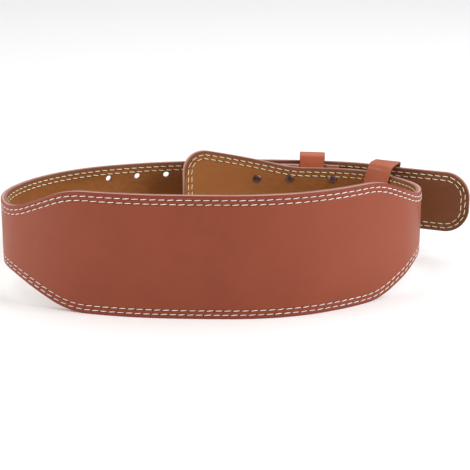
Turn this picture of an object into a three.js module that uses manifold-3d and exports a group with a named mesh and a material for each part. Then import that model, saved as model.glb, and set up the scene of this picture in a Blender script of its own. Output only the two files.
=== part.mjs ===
// Leather weightlifting belt, fastened and standing on its lower edge. Millimetres, +Z up.
// The wide back faces -Y. Seen from above, the arm leaves it to the right and ends in the pad,
// and the tongue leaves it to the left, laps over the outside of the arm and ends in a free tip.
import * as THREE from 'three';
import { mergeVertices } from 'three/addons/utils/BufferGeometryUtils.js';
import Module from 'manifold-3d';

const wasm = await Module();
wasm.setup();

// Widths and lengths of the flat-cut belt, measured from the middle of the wide back
const BACK_WIDTH = 102;
const BACK_HALF_LENGTH = 133;
const TAPER_LENGTH = 58.5;
const STRAP_WIDTH = 55;
const ARM_LENGTH = 477.5;
const PAD_LENGTH = 105.5;
const PAD_END_WIDTH = 103.6;
const TIP_LENGTH = 93.5;
const PAD_CORNER_RADIUS = 24.5;
const TIP_CORNER_RADIUS = 22.5;
const SHOULDER_EASE = 16;
const PAD_EASE = 12;

// Leather thicknesses and the gap that bonded or touching pieces keep
const OUTER_LEATHER = 3;
const LINING = 2.1;
const STRAP_LEATHER = 2;
const KEEPER_LEATHER = 1.8;
const GAP = 0.3;
const EDGE_BEVEL = 0.7;

// Distances along the arm from one piece of the hardware to the next, starting at the pad's end
const BAR_FROM_PAD_END = 60;
const RIVETS_FROM_BAR = 11;
const FIXED_KEEPER_FROM_BAR = 62.2;
const RIVETS_BEFORE_KEEPER = 9.5;
const RIVETS_BEYOND_KEEPER = 8.8;
const STRAP_PAST_RIVETS = 5;
const SLIDING_KEEPER_FROM_STRAP = 23.3;
const RIVET_ROW_SPACING = 27;
const BUCKLE_STRAP_WIDTH = 51;

// Punched holes of the tongue and the prongs that go through one pair of them
const HOLE_DIAMETER = 5.5;
const HOLE_PITCH = 27.4;
const HOLE_ROW_SPACING = 32;
const HOLE_PAIRS_BEFORE_PRONGS = 4;
const HOLE_PAIRS_PAST_PRONGS = 3;
const PRONG_REACH = 17.1;
const PRONG_DIAMETER = 3.4;
const PRONG_PLAY = 0.5;
const PRONG_OVERHANG = 3.5;

// Keepers: leather loops round the tongue, with room below and above what they hold
const FIXED_KEEPER_WIDTH = 22;
const FIXED_KEEPER_ROOM_BELOW = 1.5;
const FIXED_KEEPER_ROOM_ABOVE = 5.9;
const SLIDING_KEEPER_WIDTH = 24;
const SLIDING_KEEPER_ROOM_BELOW = 0.6;
const SLIDING_KEEPER_ROOM_ABOVE = 3.8;
const SLIDING_KEEPER_LEAN = 0.23;
const KEEPER_SLACK = 0.9;
const KEEPER_TOP_RADIUS = 6;
const KEEPER_FOLD_RADIUS = 2.6;

// The lap: room between the layers, and how far inside the sliding keeper the free tip begins
const LAP_SLACK = 4.7;
const LAP_PLAY = 0.45;
const TIP_INSIDE_KEEPER = 4.2;

// Buckle frame
const BUCKLE_LENGTH = 38;
const BUCKLE_THICKNESS = 4;
const BUCKLE_BEVEL = 0.8;
const HEEL_BAR_WIDTH = 4;
const FRONT_BAR_WIDTH = 5;
const HEEL_SIDE_WIDTH = 2.9;
const FRONT_SIDE_WIDTH = 4.65;
const BUCKLE_SIDE_PLAY = 0.6;
const BUCKLE_FLARE = 1.75;
const BUCKLE_CORNER_RADIUS = 5;
const BAR_PLAY = 0.8;
const FRONT_BAR_PLAY = 1;
const FOLD_TURN = 215;

// Rivets
const RIVET_HEAD_DIAMETER = 8;
const RIVET_HEAD_HEIGHT = 1.2;
const RIVET_SHANK_DIAMETER = 3.2;
const RIVET_CAP_DIAMETER = 7;
const RIVET_CAP_HEIGHT = 0.7;
const RIVET_DOME_RINGS = [0.45, 0.75, 0.95];

// How far the arm's centre line comes down, and over which stretch of the arm
const DROP_FROM = 200;
const DROP_LENGTH = 80;

// Bends seen from above: degrees that each stretch turns. The arm's stretches are equally long.
const ARM_TURNS = [12.2, 14.9, 10.5, 9.1, 27.8, 30.4, 21, 37.9, 13.7, 4.2, 14.9, 13.1];
// On the tongue's side the back runs into the corner, and the corner runs on to the lap.
const LEFT_BACK_TURNS = [4.8, 11.9, 22.1];
const LEFT_CORNER_TURNS = [35.4, 32.8, 21.3];
const LEFT_CORNER_STEP = 41.6;
const LEFT_RUN_TURNS = [28.5, 14.6];
// Beyond the sliding keeper the free tip straightens and bends back a little.
const TIP_TURNS = [-6.8, 0.2, -1.8];

// Fineness of the paths and of the faceted solids
const PATH_STEP = 2;
const CHORD_STEPS = 16;
const STRIP_STEP = 9;
const CORNER_STEPS = 6;
const LOOP_CORNER_STEPS = 4;
const LOOP_SIDE_STEPS = 4;
const LEG_STEP = 8;
const FOLD_STEPS = 10;
const KEEPER_ROWS = 6;
const PRONG_SPAN_STEPS = 4;
const HOLE_SIDES = 12;
const WIRE_SIDES = 8;

const BELT_THICKNESS = OUTER_LEATHER + GAP + LINING;
const HALF_THICKNESS = BELT_THICKNESS / 2;
const BACK_CENTRE_Z = BACK_WIDTH / 2;
const radians = THREE.MathUtils.degToRad;
const smooth = (t) => THREE.MathUtils.smoothstep(t, 0, 1);

// Half the width of the flat belt at a signed station: the arm's side is positive.
// Each row is a corner of the cut line: where it lies, half the width there and its easing.
const CUT_LINE = {
  arm: [
    { at: 0, half: BACK_WIDTH / 2, ease: 0 },
    { at: BACK_HALF_LENGTH, half: BACK_WIDTH / 2, ease: SHOULDER_EASE },
    { at: BACK_HALF_LENGTH + TAPER_LENGTH, half: STRAP_WIDTH / 2, ease: SHOULDER_EASE },
    { at: ARM_LENGTH - PAD_LENGTH, half: STRAP_WIDTH / 2, ease: PAD_EASE },
    { at: ARM_LENGTH, half: PAD_END_WIDTH / 2, ease: 0 },
  ],
  tongue: [
    { at: 0, half: BACK_WIDTH / 2, ease: 0 },
    { at: BACK_HALF_LENGTH, half: BACK_WIDTH / 2, ease: SHOULDER_EASE },
    { at: BACK_HALF_LENGTH + TAPER_LENGTH, half: STRAP_WIDTH / 2, ease: SHOULDER_EASE },
  ],
};

function slopeAfter(rows, i) {
  if (i < 0 || i >= rows.length - 1) return 0;
  return (rows[i + 1].half - rows[i].half) / (rows[i + 1].at - rows[i].at);
}

function cutLine(rows, distance) {
  const beyond = rows.findIndex((row) => row.at > distance);
  const i = beyond < 0 ? rows.length - 1 : beyond - 1;
  let half = rows[i].half + slopeAfter(rows, i) * (distance - rows[i].at);
  rows.forEach(({ at, ease }, k) => {
    const reach = ease - Math.abs(distance - at);
    const bend = slopeAfter(rows, k) - slopeAfter(rows, k - 1);
    if (reach > 0) half += (bend * reach * reach) / (4 * ease);
  });
  return half;
}

function cornerCut(distance, end, radius) {
  const inside = Math.min(radius, distance - (end - radius));
  return inside > 0 ? radius - Math.sqrt(radius * radius - inside * inside) : 0;
}

// A path seen from above: samples with the station, the place and the heading.
function walk(start, stretches, sense) {
  const samples = [{ ...start }];
  let { s, x, y, heading } = start;
  for (const { length, turn } of stretches) {
    const steps = Math.ceil(Math.abs(length) / PATH_STEP);
    const bend = (sense * radians(turn)) / steps;
    const step = length / steps;
    for (let k = 0; k < steps; k += 1) {
      x += step * Math.cos(heading + bend / 2);
      y += step * Math.sin(heading + bend / 2);
      heading += bend;
      s += step;
      samples.push({ s, x, y, heading });
    }
  }
  return samples;
}

// Place on a path at a station, moved by an offset towards the outside of the loop.
function placeOn(path, s, offset = 0) {
  let i = path.findIndex((sample) => sample.s >= s);
  i = i < 1 ? (i === 0 ? 1 : path.length - 1) : i;
  const [a, b] = [path[i - 1], path[i]];
  const t = (s - a.s) / (b.s - a.s);
  const heading = a.heading + (b.heading - a.heading) * t;
  const outward = new THREE.Vector2(Math.sin(heading), -Math.cos(heading)).multiplyScalar(path.side);
  const place = new THREE.Vector2(a.x + (b.x - a.x) * t, a.y + (b.y - a.y) * t);
  return { place: place.addScaledVector(outward, offset), outward, heading };
}

const armStretches = ARM_TURNS.map((turn) => ({ length: ARM_LENGTH / ARM_TURNS.length, turn }));
const armPath = walk({ s: 0, x: 0, y: 0, heading: 0 }, armStretches, 1);
armPath.side = 1;

// Places of the hardware, as stations of the arm from the middle of the back
const BUCKLE_BAR_AT = ARM_LENGTH - BAR_FROM_PAD_END;
const FIXED_KEEPER_AT = BUCKLE_BAR_AT - FIXED_KEEPER_FROM_BAR;
const KEEPER_FROM = FIXED_KEEPER_AT - FIXED_KEEPER_WIDTH / 2;
const KEEPER_TO = FIXED_KEEPER_AT + FIXED_KEEPER_WIDTH / 2;
const RIVETS_AT = [
  BUCKLE_BAR_AT - RIVETS_FROM_BAR,
  KEEPER_TO + RIVETS_BEFORE_KEEPER,
  KEEPER_FROM - RIVETS_BEYOND_KEEPER,
];
const BUCKLE_STRAP_END = RIVETS_AT[2] - STRAP_PAST_RIVETS;
const SLIDING_KEEPER_AT = BUCKLE_STRAP_END - SLIDING_KEEPER_FROM_STRAP - SLIDING_KEEPER_WIDTH / 2;

// Layers between the arm's middle and the pieces that lie on its outside
const ON_ARM = HALF_THICKNESS + GAP;
const INNER_LEG_LEVEL = ON_ARM + STRAP_LEATHER / 2;
const OUTER_LEG_LEVEL = ON_ARM + STRAP_LEATHER + GAP + STRAP_LEATHER / 2;
const FOLD_RADIUS = BUCKLE_THICKNESS / 2 + BAR_PLAY + STRAP_LEATHER / 2;
const BAR_LEVEL = INNER_LEG_LEVEL + FOLD_RADIUS;
const ON_LEG = OUTER_LEG_LEVEL + STRAP_LEATHER / 2 + LAP_PLAY + HALF_THICKNESS;
const ON_FOLD = BAR_LEVEL + FOLD_RADIUS + STRAP_LEATHER / 2 + LAP_PLAY + HALF_THICKNESS;

// How far the tongue's middle lies outside the arm's, along the arm
const LAP_END = SLIDING_KEEPER_AT + SLIDING_KEEPER_WIDTH / 2 - TIP_INSIDE_KEEPER;
const LAP = [
  { at: LAP_END, apart: BELT_THICKNESS + LAP_SLACK },
  { at: KEEPER_FROM, apart: ON_LEG },
  { at: BUCKLE_BAR_AT, apart: ON_FOLD },
];
const LAP_FROM = LAP[0].at;
const LAP_TO = LAP[LAP.length - 1].at;

function lapDistance(s) {
  const i = s < LAP[1].at ? 0 : 1;
  const t = (s - LAP[i].at) / (LAP[i + 1].at - LAP[i].at);
  return LAP[i].apart + (LAP[i + 1].apart - LAP[i].apart) * t;
}

const lapSteps = Math.ceil((LAP_TO - LAP_FROM) / PATH_STEP);
const lapPlaces = Array.from({ length: lapSteps + 1 }, (_, k) => {
  const s = LAP_TO + ((LAP_FROM - LAP_TO) * k) / lapSteps;
  return placeOn(armPath, s, lapDistance(s)).place;
});

function headingBetween(a, b) {
  return Math.atan2(b.y - a.y, b.x - a.x);
}

// Displacement of a bent stretch of unit length, walked clockwise from a heading
function unitChord(heading, turn) {
  const steps = Array.from({ length: CHORD_STEPS }, () => ({ length: 1, turn: turn / CHORD_STEPS }));
  const end = walk({ s: 0, x: 0, y: 0, heading }, steps, -1).pop();
  return new THREE.Vector2(end.x, end.y).divideScalar(CHORD_STEPS);
}

// The back and the run to the lap are as long as it takes for the belt to close on the arm.
function tonguePathStretches() {
  const lapHeading = headingBetween(lapPlaces[0], lapPlaces[1]);
  const turns = [...LEFT_BACK_TURNS, ...LEFT_CORNER_TURNS, ...LEFT_RUN_TURNS];
  const turned = turns.reduce((sum, turn) => sum + turn, 0);
  turns.push(180 - THREE.MathUtils.radToDeg(lapHeading) - turned);
  const sums = [new THREE.Vector2(), new THREE.Vector2(), new THREE.Vector2()];
  let heading = Math.PI;
  turns.forEach((turn, k) => {
    sums[Math.floor(k / 3)].add(unitChord(heading, turn));
    heading -= radians(turn);
  });
  const [back, corner, run] = sums;
  const rest = lapPlaces[0].clone().addScaledVector(corner, -LEFT_CORNER_STEP);
  const scale = back.cross(run);
  const lengths = [rest.cross(run) / scale, LEFT_CORNER_STEP, back.cross(rest) / scale];
  return turns.map((turn, k) => ({ length: lengths[Math.floor(k / 3)], turn }));
}

const tongueStretches = tonguePathStretches();

function buildTonguePath() {
  const path = walk({ s: 0, x: 0, y: 0, heading: Math.PI }, tongueStretches, -1);
  for (let k = 1; k < lapPlaces.length; k += 1) {
    const before = path[path.length - 1];
    const place = lapPlaces[k];
    const ahead = lapPlaces[Math.min(k + 1, lapPlaces.length - 1)];
    const s = before.s + place.distanceTo(lapPlaces[k - 1]);
    path.push({ s, x: place.x, y: place.y, heading: headingBetween(lapPlaces[k - 1], ahead) });
  }
  const tip = TIP_TURNS.map((turn) => ({ length: TIP_LENGTH / TIP_TURNS.length, turn }));
  path.push(...walk(path[path.length - 1], tip, -1).slice(1));
  path.side = -1;
  return path;
}

const tonguePath = buildTonguePath();
const TONGUE_LENGTH = tonguePath[tonguePath.length - 1].s;
const TONGUE_BAR_AT = tongueStretches.reduce((sum, stretch) => sum + stretch.length, 0);
const PRONGS_AT = TONGUE_BAR_AT - PRONG_REACH;

function armHalf(s) {
  return cutLine(CUT_LINE.arm, s) - cornerCut(s, ARM_LENGTH, PAD_CORNER_RADIUS);
}

function tongueHalf(s) {
  return cutLine(CUT_LINE.tongue, s) - cornerCut(s, TONGUE_LENGTH, TIP_CORNER_RADIUS);
}

// Stations of a branch: even steps, the cut line's corners, and fine steps round its end corners
function stationsOf(length, radius, rows) {
  const list = [];
  for (let s = 0; s < length - radius; s += STRIP_STEP) list.push(s);
  for (const { at, ease } of rows.filter((row) => row.ease > 0)) {
    list.push(at - ease, at - ease / 2, at, at + ease / 2, at + ease);
  }
  for (let k = 0; k <= CORNER_STEPS; k += 1) {
    list.push(length - radius + radius * Math.sin((Math.PI / 2) * (k / CORNER_STEPS)));
  }
  const sorted = list.filter((s) => s >= 0 && s <= length).sort((a, b) => a - b);
  return sorted.filter((s, k) => k === 0 || s - sorted[k - 1] > 0.5 || s === length);
}

const armStations = stationsOf(ARM_LENGTH, PAD_CORNER_RADIUS, CUT_LINE.arm);
const tongueStations = stationsOf(TONGUE_LENGTH, TIP_CORNER_RADIUS, CUT_LINE.tongue);

// The pad's lowest point stands on the same surface as the wide back.
const padHalf = Math.max(...armStations.filter((s) => s > ARM_LENGTH - PAD_LENGTH).map(armHalf));
const ARM_DROP = BACK_CENTRE_Z - padHalf;
const armCentreZ = (s) => BACK_CENTRE_Z - ARM_DROP * smooth((s - DROP_FROM) / DROP_LENGTH);
const TONGUE_CENTRE_Z = BACK_CENTRE_Z;

// Sections of the belt from the pad's end to the tongue's tip, in order
const beltSections = [
  ...armStations.map((s) => ({ path: armPath, s, half: armHalf(s), z: armCentreZ(s) })).reverse(),
  ...tongueStations.slice(1).map((s) => ({ path: tonguePath, s, half: tongueHalf(s), z: TONGUE_CENTRE_Z })),
];

// Solid through rings of points: neighbouring rings are joined and the two ends are closed.
function loftRings(rings) {
  const count = rings[0].length;
  const positions = rings.flat().flatMap((point) => point.toArray());
  const index = [];
  for (let r = 0; r < rings.length - 1; r += 1) {
    for (let k = 0; k < count; k += 1) {
      const next = (k + 1) % count;
      const [a, b] = [r * count + k, r * count + next];
      index.push(a, a + count, b + count, a, b + count, b);
    }
  }
  const flat = [];
  const [origin, across, up] = [rings[0][0], rings[0][1], rings[0][2]];
  const axisU = across.clone().sub(origin).normalize();
  const normal = axisU.clone().cross(up.clone().sub(origin)).normalize();
  const axisV = normal.clone().cross(axisU);
  for (const point of rings[0]) {
    const arm = point.clone().sub(origin);
    flat.push(new THREE.Vector2(arm.dot(axisU), arm.dot(axisV)));
  }
  const last = (rings.length - 1) * count;
  for (const [a, b, c] of THREE.ShapeUtils.triangulateShape(flat, [])) {
    index.push(a, b, c, last + a, last + c, last + b);
  }
  return closedGeometry(positions, index);
}

// Geometry with outward faces: a solid that comes out inside out is turned round.
function closedGeometry(positions, index) {
  let volume = 0;
  const corner = (i) => new THREE.Vector3().fromArray(positions, 3 * i);
  for (let k = 0; k < index.length; k += 3) {
    volume += corner(index[k]).dot(corner(index[k + 1]).cross(corner(index[k + 2])));
  }
  if (volume < 0) index.reverse();
  const geometry = new THREE.BufferGeometry();
  geometry.setAttribute('position', new THREE.Float32BufferAttribute(positions, 3));
  geometry.setIndex(index);
  return geometry;
}

function toSolid(geometry) {
  const bare = geometry.clone();
  bare.deleteAttribute('normal');
  bare.deleteAttribute('uv');
  const merged = mergeVertices(bare, 1e-4);
  const vertProperties = new Float32Array(merged.attributes.position.array);
  const triVerts = new Uint32Array(merged.index.array);
  return new wasm.Manifold(new wasm.Mesh({ numProp: 3, vertProperties, triVerts }));
}

function fromSolid(solid) {
  const mesh = solid.getMesh();
  const geometry = new THREE.BufferGeometry();
  geometry.setAttribute('position', new THREE.BufferAttribute(mesh.vertProperties, 3));
  geometry.setIndex(new THREE.BufferAttribute(mesh.triVerts, 1));
  return geometry;
}

const cutAll = (solid, cutters) => cutters.reduce((left, cutter) => left.subtract(cutter), solid);

const inSpace = ({ x, y }, z) => new THREE.Vector3(x, y, z);

// Cylinder between two offsets from a path, square to the belt
function crossCylinder(path, s, z, from, to, radius) {
  const geometry = new THREE.CylinderGeometry(radius, radius, to - from, HOLE_SIDES);
  return toSolid(setAcross(geometry, path, s, z, (from + to) / 2));
}

// Turns a shape made round the Y axis so that +Y points out of the belt at a station.
function setAcross(geometry, path, s, z, offset) {
  const { place, outward } = placeOn(path, s, offset);
  const direction = new THREE.Vector3(outward.x, outward.y, 0);
  const turn = new THREE.Quaternion().setFromUnitVectors(new THREE.Vector3(0, 1, 0), direction);
  geometry.applyQuaternion(turn);
  return geometry.translate(place.x, place.y, z);
}

// One layer of the belt between two offsets from its middle, its outer edges bevelled or square
function beltLayer(from, to, bevel) {
  const rings = beltSections.map(({ path, s, half, z }) => {
    const at = (offset, rise) => inSpace(placeOn(path, s, offset).place, z + rise);
    const inner = [at(from, half), at(from, -half)];
    if (bevel === 0) return [...inner, at(to, -half), at(to, half)];
    const outer = [at(to - bevel, -half), at(to, bevel - half), at(to, half - bevel), at(to - bevel, half)];
    return [...inner, ...outer];
  });
  return toSolid(loftRings(rings));
}

// Punched holes through the tongue
function punchedHoles() {
  const cutters = [];
  for (let pair = -HOLE_PAIRS_BEFORE_PRONGS; pair <= HOLE_PAIRS_PAST_PRONGS; pair += 1) {
    for (const row of [-1, 1]) {
      const z = TONGUE_CENTRE_Z + (row * HOLE_ROW_SPACING) / 2;
      const s = PRONGS_AT + pair * HOLE_PITCH;
      cutters.push(crossCylinder(tonguePath, s, z, -BELT_THICKNESS, BELT_THICKNESS, HOLE_DIAMETER / 2));
    }
  }
  return cutters;
}

const rivetHeights = [1, -1].map((row) => TONGUE_CENTRE_Z + (row * RIVET_ROW_SPACING) / 2);
const rivetPlaces = RIVETS_AT.flatMap((s) => rivetHeights.map((z) => ({ s, z })));

function rivetHoles() {
  const reach = OUTER_LEG_LEVEL + 2 * STRAP_LEATHER;
  const radius = RIVET_SHANK_DIAMETER / 2 + GAP;
  return rivetPlaces.map(({ s, z }) => crossCylinder(armPath, s, z, -reach, reach, radius));
}

// Buckle: its heel bar lies in the fold of the buckle strap, its front bar outside the tongue
const barCentre = placeOn(armPath, BUCKLE_BAR_AT, BAR_LEVEL).place;
const frontBarOffset = HALF_THICKNESS + FRONT_BAR_PLAY + BUCKLE_THICKNESS / 2;
const frontBarCentre = placeOn(tonguePath, TONGUE_BAR_AT - BUCKLE_LENGTH, frontBarOffset).place;
const buckleAlong = frontBarCentre.clone().sub(barCentre).normalize();
const buckleOut = new THREE.Vector2(-buckleAlong.y, buckleAlong.x).negate();
const buckleSpan = barCentre.distanceTo(frontBarCentre);
const innerHalf = STRAP_WIDTH / 2 + BUCKLE_SIDE_PLAY;

function roundedOutline(corners, radius) {
  const outline = new THREE.Shape();
  corners.forEach((corner, k) => {
    const before = corners[(k + corners.length - 1) % corners.length];
    const after = corners[(k + 1) % corners.length];
    const towards = (other) => corner.clone().add(other.clone().sub(corner).setLength(radius));
    const [start, end] = [towards(before), towards(after)];
    if (k === 0) outline.moveTo(start.x, start.y);
    else outline.lineTo(start.x, start.y);
    outline.quadraticCurveTo(corner.x, corner.y, end.x, end.y);
  });
  outline.closePath();
  return outline;
}

// The frame is drawn along and up, and stands on its heel bar's centre.
function buckleFrame() {
  const heel = -HEEL_BAR_WIDTH / 2;
  const front = buckleSpan + FRONT_BAR_WIDTH / 2;
  const frontHalf = innerHalf + BUCKLE_FLARE;
  const outer = [
    new THREE.Vector2(heel, -innerHalf - HEEL_SIDE_WIDTH),
    new THREE.Vector2(front, -frontHalf - FRONT_SIDE_WIDTH),
    new THREE.Vector2(front, frontHalf + FRONT_SIDE_WIDTH),
    new THREE.Vector2(heel, innerHalf + HEEL_SIDE_WIDTH),
  ];
  const inner = [
    new THREE.Vector2(HEEL_BAR_WIDTH / 2, -innerHalf),
    new THREE.Vector2(buckleSpan - FRONT_BAR_WIDTH / 2, -frontHalf),
    new THREE.Vector2(buckleSpan - FRONT_BAR_WIDTH / 2, frontHalf),
    new THREE.Vector2(HEEL_BAR_WIDTH / 2, innerHalf),
  ];
  const shape = roundedOutline(outer, BUCKLE_CORNER_RADIUS);
  shape.holes.push(roundedOutline(inner, BUCKLE_CORNER_RADIUS / 4));
  const geometry = new THREE.ExtrudeGeometry(shape, {
    depth: BUCKLE_THICKNESS - 2 * BUCKLE_BEVEL,
    curveSegments: LOOP_CORNER_STEPS,
    bevelThickness: BUCKLE_BEVEL,
    bevelSize: BUCKLE_BEVEL,
    bevelOffset: -BUCKLE_BEVEL,
    bevelSegments: 1,
  });
  geometry.translate(0, 0, BUCKLE_BEVEL - BUCKLE_THICKNESS / 2);
  const along = new THREE.Vector3(buckleAlong.x, buckleAlong.y, 0);
  const up = new THREE.Vector3(0, 0, 1);
  const turned = new THREE.Matrix4().makeBasis(along, up, along.clone().cross(up));
  geometry.applyMatrix4(turned.setPosition(inSpace(barCentre, TONGUE_CENTRE_Z)));
  return toSolid(geometry);
}

// A prong starts round the heel bar, goes out through the tongue and lies on the front bar.
function prongWire(z, radius) {
  const clear = HALF_THICKNESS + PRONG_DIAMETER / 2;
  const on = (s, offset) => placeOn(tonguePath, s, offset).place;
  const restOnBar = BUCKLE_THICKNESS / 2 + GAP + PRONG_DIAMETER / 2;
  const overBar = frontBarCentre.clone().addScaledVector(buckleOut, restOnBar);
  const points = [
    barCentre,
    on(PRONGS_AT + PRONG_REACH / 3, -clear),
    on(PRONGS_AT, 0),
    on(PRONGS_AT - PRONG_REACH / 2, clear + GAP),
    overBar,
    overBar.clone().addScaledVector(buckleAlong, PRONG_OVERHANG),
  ];
  const route = new THREE.CatmullRomCurve3(points.map((point) => inSpace(point, z)), false, 'centripetal');
  const section = new THREE.Shape();
  for (let k = 0; k < WIRE_SIDES; k += 1) {
    const angle = (2 * Math.PI * (k + 0.5)) / WIRE_SIDES;
    const corner = [radius * Math.cos(angle), radius * Math.sin(angle)];
    if (k === 0) section.moveTo(...corner);
    else section.lineTo(...corner);
  }
  const steps = PRONG_SPAN_STEPS * (points.length - 1);
  return toSolid(new THREE.ExtrudeGeometry(section, { steps, extrudePath: route, bevelEnabled: false }));
}

const prongHeights = [-1, 1].map((row) => TONGUE_CENTRE_Z + (row * HOLE_ROW_SPACING) / 2);
const prongPassages = prongHeights.map((z) => prongWire(z, PRONG_DIAMETER / 2 + PRONG_PLAY));

function makeBuckle() {
  const prongs = prongHeights.map((z) => prongWire(z, PRONG_DIAMETER / 2));
  return prongs.reduce((whole, prong) => whole.add(prong), buckleFrame());
}

// Evenly spaced stations of a leg of the buckle strap, both ends included
function legBetween(from, to, level) {
  const steps = Math.ceil(Math.abs(to - from) / LEG_STEP);
  return Array.from({ length: steps + 1 }, (_, k) => ({ s: from + ((to - from) * k) / steps, level }));
}

// Buckle strap: two legs on the arm's outside, joined by the fold round the heel bar.
// The outer leg passes over the fixed keeper's wall and comes down on the arm beyond it.
function makeBuckleStrap() {
  const fold = [];
  for (let k = 0; k <= FOLD_STEPS; k += 1) {
    const angle = radians(FOLD_TURN * (k / FOLD_STEPS) - 90);
    const s = BUCKLE_BAR_AT + FOLD_RADIUS * Math.cos(angle);
    fold.push({ s, level: BAR_LEVEL + FOLD_RADIUS * Math.sin(angle) });
  }
  const clamp = RIVETS_AT[0] + RIVET_CAP_DIAMETER / 2;
  const clear = 2 * GAP;
  const middle = [
    ...legBetween(KEEPER_TO + clear, BUCKLE_BAR_AT, INNER_LEG_LEVEL).slice(0, -1),
    ...fold,
    ...legBetween(clamp, KEEPER_FROM - clear, OUTER_LEG_LEVEL),
    ...legBetween(KEEPER_FROM - clear - 2 * STRAP_LEATHER, BUCKLE_STRAP_END, INNER_LEG_LEVEL),
  ];
  const line = middle.map(({ s, level }) => placeOn(armPath, s, level).place);
  const normals = line.map((_, k) => {
    const [a, b] = [line[Math.max(0, k - 1)], line[Math.min(line.length - 1, k + 1)]];
    const along = b.clone().sub(a).normalize();
    return new THREE.Vector2(-along.y, along.x);
  });
  const side = (offset) => line.map((point, k) => point.clone().addScaledVector(normals[k], offset));
  const outline = new THREE.Shape([...side(STRAP_LEATHER / 2), ...side(-STRAP_LEATHER / 2).reverse()]);
  const geometry = new THREE.ExtrudeGeometry(outline, { depth: BUCKLE_STRAP_WIDTH, bevelEnabled: false });
  geometry.translate(0, 0, TONGUE_CENTRE_Z - BUCKLE_STRAP_WIDTH / 2);
  return cutAll(toSolid(geometry), [...rivetHoles(), ...prongPassages]);
}

// Upright rounded rectangle as points that run once round, in depth and height
function loopOutline(depth, height, topRadius, bottomRadius) {
  const points = [];
  const corners = [[1, 1, 0], [0, 1, 1], [0, 0, 2], [1, 0, 3]];
  for (const [right, top, quarter] of corners) {
    const radius = top ? topRadius : bottomRadius;
    const centre = [right ? depth - radius : radius, top ? height - radius : radius];
    for (let k = 0; k <= LOOP_CORNER_STEPS; k += 1) {
      const angle = (Math.PI / 2) * (quarter + k / LOOP_CORNER_STEPS);
      points.push([centre[0] + radius * Math.cos(angle), centre[1] + radius * Math.sin(angle)]);
    }
    if (right === top) continue;
    const ends = [bottomRadius, height - topRadius];
    const [from, to] = top ? ends.reverse() : ends;
    for (let k = 1; k < LOOP_SIDE_STEPS; k += 1) {
      points.push([right ? depth : 0, from + ((to - from) * k) / LOOP_SIDE_STEPS]);
    }
  }
  return points;
}

// Leather loop between two heights: rowAt gives its inner place, its outward direction and its
// depth at a distance from the middle of its width. A loop that leans moves along as it rises.
function keeperLoop(rowAt, width, inside, lean, topRadius) {
  const bottom = inside.from - KEEPER_LEATHER;
  const height = inside.to - inside.from + 2 * KEEPER_LEATHER;
  const { depth } = rowAt(0);
  const outer = loopOutline(depth, height, topRadius, KEEPER_FOLD_RADIUS);
  const [innerDepth, innerHeight] = [depth, height].map((size) => size - 2 * KEEPER_LEATHER);
  const [innerTop, innerFold] = [topRadius, KEEPER_FOLD_RADIUS].map((radius) => radius - KEEPER_LEATHER);
  const inner = loopOutline(innerDepth, innerHeight, innerTop, innerFold)
    .map(([u, v]) => [u + KEEPER_LEATHER, v + KEEPER_LEATHER]);
  const ring = (points, along) => points.map(([u, v]) => {
    const row = rowAt(along + lean * (v - height / 2));
    const out = u < depth / 2 ? u : u + row.depth - depth;
    return inSpace(row.place.clone().addScaledVector(row.outward, out), bottom + v);
  });
  const across = Array.from({ length: KEEPER_ROWS }, (_, k) => width * (k / (KEEPER_ROWS - 1) - 0.5));
  const outerRings = across.map((along) => ring(outer, along));
  const innerRings = across.map((along) => ring(inner, along));
  const count = outerRings[0].length;
  const all = [...outerRings, ...innerRings.reverse()];
  const index = [];
  all.forEach((_, r) => {
    const [here, there] = [r * count, ((r + 1) % all.length) * count];
    for (let k = 0; k < count; k += 1) {
      const next = (k + 1) % count;
      index.push(here + k, there + k, there + next, here + k, there + next, here + next);
    }
  });
  return toSolid(closedGeometry(all.flat().flatMap((point) => point.toArray()), index));
}

const TONGUE_UNDERSIDE = TONGUE_CENTRE_Z - STRAP_WIDTH / 2;
const TONGUE_TOP = TONGUE_CENTRE_Z + STRAP_WIDTH / 2;

function makeFixedKeeper() {
  const outside = HALF_THICKNESS + KEEPER_SLACK + KEEPER_LEATHER;
  const rowAt = (along) => {
    const { place, outward } = placeOn(armPath, FIXED_KEEPER_AT + along, ON_ARM);
    return { place, outward, depth: lapDistance(FIXED_KEEPER_AT + along) + outside - ON_ARM };
  };
  const [from, to] = [TONGUE_UNDERSIDE - FIXED_KEEPER_ROOM_BELOW, TONGUE_TOP + FIXED_KEEPER_ROOM_ABOVE];
  return keeperLoop(rowAt, FIXED_KEEPER_WIDTH, { from, to }, 0, KEEPER_FOLD_RADIUS);
}

// Distance from a place along a direction to a path
function reachTo(path, place, direction) {
  let nearest = Infinity;
  for (let k = 1; k < path.length; k += 1) {
    const [a, b] = [path[k - 1], path[k]].map(({ x, y }) => new THREE.Vector2(x, y).sub(place));
    const [before, after] = [direction.cross(a), direction.cross(b)];
    if (before * after > 0) continue;
    const distance = a.lerp(b, before / (before - after)).dot(direction);
    if (distance > 0) nearest = Math.min(nearest, distance);
  }
  return nearest;
}

// The sliding keeper goes round the arm and the tongue, which stand further apart at one rim.
function makeSlidingKeeper() {
  const inside = HALF_THICKNESS + KEEPER_SLACK + KEEPER_LEATHER;
  const onTongue = TONGUE_LENGTH - TIP_LENGTH + LAP_FROM - SLIDING_KEEPER_AT;
  const rowAt = (along) => {
    const { place: outerFace, outward } = placeOn(tonguePath, onTongue + along, inside);
    const depth = reachTo(armPath, outerFace, outward.clone().negate()) + inside;
    return { place: outerFace.addScaledVector(outward, -depth), outward, depth };
  };
  const armUnderside = armCentreZ(SLIDING_KEEPER_AT) - STRAP_WIDTH / 2;
  const [from, to] = [armUnderside - SLIDING_KEEPER_ROOM_BELOW, TONGUE_TOP + SLIDING_KEEPER_ROOM_ABOVE];
  return keeperLoop(rowAt, SLIDING_KEEPER_WIDTH, { from, to }, SLIDING_KEEPER_LEAN, KEEPER_TOP_RADIUS);
}

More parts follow.
